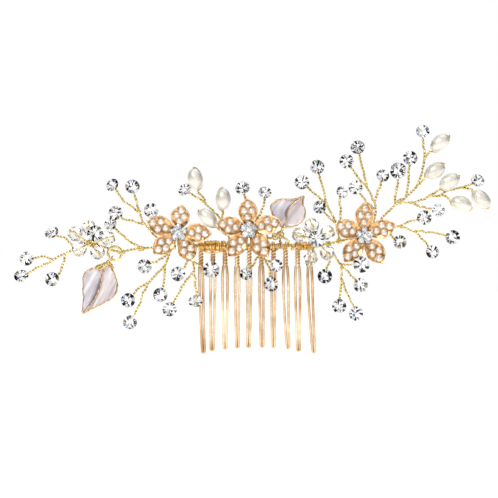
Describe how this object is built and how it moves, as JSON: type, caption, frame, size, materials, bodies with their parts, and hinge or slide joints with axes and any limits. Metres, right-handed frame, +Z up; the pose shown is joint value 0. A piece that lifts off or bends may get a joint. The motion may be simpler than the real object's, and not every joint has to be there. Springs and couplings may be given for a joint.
{
  "type": "decorative hair comb",
  "caption": "Wire hair comb carrying a curved spray of crystal stones, pearls, faceted beads, metal flowers and enamelled leaves on twisted gold wire.",
  "frame": {"origin": "middle of the comb's bar, on the bar's axis", "axes": "+Z up from the bar, the teeth point to -Z; the decorated face looks along -Y and the wearer's head is on the +Y side; X runs along the bar, +X to the side of the higher, pearl-tipped end"},
  "size_m": [0.1503, 0.015, 0.0722],
  "materials": {
    "gold_wire": "pale gold-plated brass wire, bright",
    "comb_wire": "rose-gold-plated steel wire, bright",
    "petal_metal": "stamped brass petals, rose-gold plating, satin",
    "leaf_rim": "cast rim, rose-gold plating, bright",
    "enamel": "pearly cold enamel, pale grey-lilac",
    "pearl": "ivory pearl nacre, lustrous",
    "bead": "clear cut glass, champagne tint",
    "crystal_stone": "small foiled crystal stones, cut"
  },
  "bodies": {
    "comb": {"bar_binding_wire": "gold_wire", "comb_bar": "comb_wire", "comb_tooth_01": "comb_wire", "comb_tooth_02": "comb_wire", "comb_tooth_03": "comb_wire", "comb_tooth_04": "comb_wire", "comb_tooth_05": "comb_wire", "comb_tooth_06": "comb_wire", "comb_tooth_07": "comb_wire", "comb_tooth_08": "comb_wire", "comb_tooth_09": "comb_wire", "comb_tooth_10": "comb_wire", "vine_wire": "gold_wire", "leaf_right_frame": "leaf_rim", "leaf_right_enamel": "enamel", "flower_left_petals": "petal_metal", "flower_left_centre": "crystal_stone", "flower_middle_petals": "petal_metal", "flower_middle_centre": "crystal_stone", "flower_right_petals": "petal_metal", "flower_right_centre": "crystal_stone", "bead_flower_left_wire": "gold_wire", "bead_flower_right_wire": "gold_wire", "sprig_far_left": "gold_wire", "sprig_left_upper": "gold_wire", "sprig_left_short": "gold_wire", "sprig_left_lower": "gold_wire", "sprig_inner_lower": "gold_wire", "sprig_middle_left": "gold_wire", "sprig_middle_upper": "gold_wire", "sprig_middle_lower": "gold_wire", "sprig_right_lower": "gold_wire", "sprig_right_inner": "gold_wire", "sprig_right_upper": "gold_wire", "sprig_right_main": "gold_wire", "sprig_right_low": "gold_wire", "sprig_right_pearls": "gold_wire"},
    "jump_ring": {"jump_ring": "gold_wire"},
    "leaf_left": {"leaf_left_frame": "leaf_rim", "leaf_left_enamel": "enamel"},
    "pearl_1": {"pearl_1": "pearl"},
    "pearl_2": {"pearl_2": "pearl"},
    "pearl_3": {"pearl_3": "pearl"},
    "pearl_4": {"pearl_4": "pearl"},
    "pearl_5": {"pearl_5": "pearl"},
    "pearl_6": {"pearl_6": "pearl"},
    "pearl_7": {"pearl_7": "pearl"},
    "pearl_8": {"pearl_8": "pearl"},
    "bead_flower_left_bead_1": {"bead_flower_left_bead_1": "bead"},
    "bead_flower_left_bead_2": {"bead_flower_left_bead_2": "bead"},
    "bead_flower_left_bead_3": {"bead_flower_left_bead_3": "bead"},
    "bead_flower_left_bead_4": {"bead_flower_left_bead_4": "bead"},
    "bead_flower_left_bead_5": {"bead_flower_left_bead_5": "bead"},
    "bead_flower_right_bead_1": {"bead_flower_right_bead_1": "bead"},
    "bead_flower_right_bead_2": {"bead_flower_right_bead_2": "bead"},
    "bead_flower_right_bead_3": {"bead_flower_right_bead_3": "bead"},
    "bead_flower_right_bead_4": {"bead_flower_right_bead_4": "bead"},
    "bead_flower_right_bead_5": {"bead_flower_right_bead_5": "bead"}
  },
  "joints": [
    {"name": "ring_turn", "type": "hinge", "parent": "comb", "child": "jump_ring", "pos_m": [-0.04225, -0.00046, -0.0023], "axis": [0, 0, 1], "range_deg": [-5, 60]},
    {"name": "leaf_swing", "type": "hinge", "parent": "jump_ring", "child": "leaf_left", "pos_m": [-0.0444, -0.00046, -0.0023], "axis": [0, -1, 0], "range_deg": [-10, 12]},
    {"name": "pearl_1_spin", "type": "hinge", "parent": "comb", "child": "pearl_1", "pos_m": [-0.019, -0.00478, 0.0209], "axis": [-0.1736, 0, 0.9848], "continuous": true},
    {"name": "pearl_2_spin", "type": "hinge", "parent": "comb", "child": "pearl_2", "pos_m": [-0.0103, -0.00514, 0.0146], "axis": [0, 0, 1], "continuous": true},
    {"name": "pearl_3_spin", "type": "hinge", "parent": "comb", "child": "pearl_3", "pos_m": [-0.0152, -0.00496, 0.0088], "axis": [-0.7071, 0, 0.7071], "continuous": true},
    {"name": "pearl_4_spin", "type": "hinge", "parent": "comb", "child": "pearl_4", "pos_m": [0.0577, -0.00056, 0.0324], "axis": [0.766, 0, 0.6428], "continuous": true},
    {"name": "pearl_5_spin", "type": "hinge", "parent": "comb", "child": "pearl_5", "pos_m": [0.0562, -0.0008, 0.0236], "axis": [0.8192, 0, 0.5736], "continuous": true},
    {"name": "pearl_6_spin", "type": "hinge", "parent": "comb", "child": "pearl_6", "pos_m": [0.0607, -0.00005, 0.0202], "axis": [0.8192, 0, 0.5736], "continuous": true},
    {"name": "pearl_7_spin", "type": "hinge", "parent": "comb", "child": "pearl_7", "pos_m": [0.0646, 0.00065, 0.0133], "axis": [0.9397, 0, -0.342], "continuous": true},
    {"name": "pearl_8_spin", "type": "hinge", "parent": "comb", "child": "pearl_8", "pos_m": [0.071, 0.00188, 0.0148], "axis": [0.7071, 0, -0.7071], "continuous": true},
    {"name": "bead_flower_left_bead_1_spin", "type": "hinge", "parent": "comb", "child": "bead_flower_left_bead_1", "pos_m": [-0.05681, -0.00128, 0.0039], "axis": [-0.8387, 0, 0.5446], "continuous": true},
    {"name": "bead_flower_left_bead_2_spin", "type": "hinge", "parent": "comb", "child": "bead_flower_left_bead_2", "pos_m": [-0.05548, -0.00128, -0.00092], "axis": [-0.8746, 0, -0.4848], "continuous": true},
    {"name": "bead_flower_left_bead_3_spin", "type": "hinge", "parent": "comb", "child": "bead_flower_left_bead_3", "pos_m": [-0.05246, -0.00128, 0.00579], "axis": [-0.0523, 0, 0.9986], "continuous": true},
    {"name": "bead_flower_left_bead_4_spin", "type": "hinge", "parent": "comb", "child": "bead_flower_left_bead_4", "pos_m": [-0.0465, -0.00128, 0.00243], "axis": [0.9659, 0, 0.2588], "continuous": true},
    {"name": "bead_flower_left_bead_5_spin", "type": "hinge", "parent": "comb", "child": "bead_flower_left_bead_5", "pos_m": [-0.04974, -0.00128, -0.00193], "axis": [0.6561, 0, -0.7547], "continuous": true},
    {"name": "bead_flower_right_bead_1_spin", "type": "hinge", "parent": "comb", "child": "bead_flower_right_bead_1", "pos_m": [0.01341, -0.00467, 0.00359], "axis": [-0.9613, 0, 0.2756], "continuous": true},
    {"name": "bead_flower_right_bead_2_spin", "type": "hinge", "parent": "comb", "child": "bead_flower_right_bead_2", "pos_m": [0.01728, -0.00467, 0.0064], "axis": [-0.2924, 0, 0.9563], "continuous": true},
    {"name": "bead_flower_right_bead_3_spin", "type": "hinge", "parent": "comb", "child": "bead_flower_right_bead_3", "pos_m": [0.02232, -0.00467, 0.00425], "axis": [0.866, 0, 0.5], "continuous": true},
    {"name": "bead_flower_right_bead_4_spin", "type": "hinge", "parent": "comb", "child": "bead_flower_right_bead_4", "pos_m": [0.02214, -0.00467, -0.00211], "axis": [0.6428, 0, -0.766], "continuous": true},
    {"name": "bead_flower_right_bead_5_spin", "type": "hinge", "parent": "comb", "child": "bead_flower_right_bead_5", "pos_m": [0.01702, -0.00467, -0.00379], "axis": [-0.2588, 0, -0.9659], "continuous": true}
  ]
}
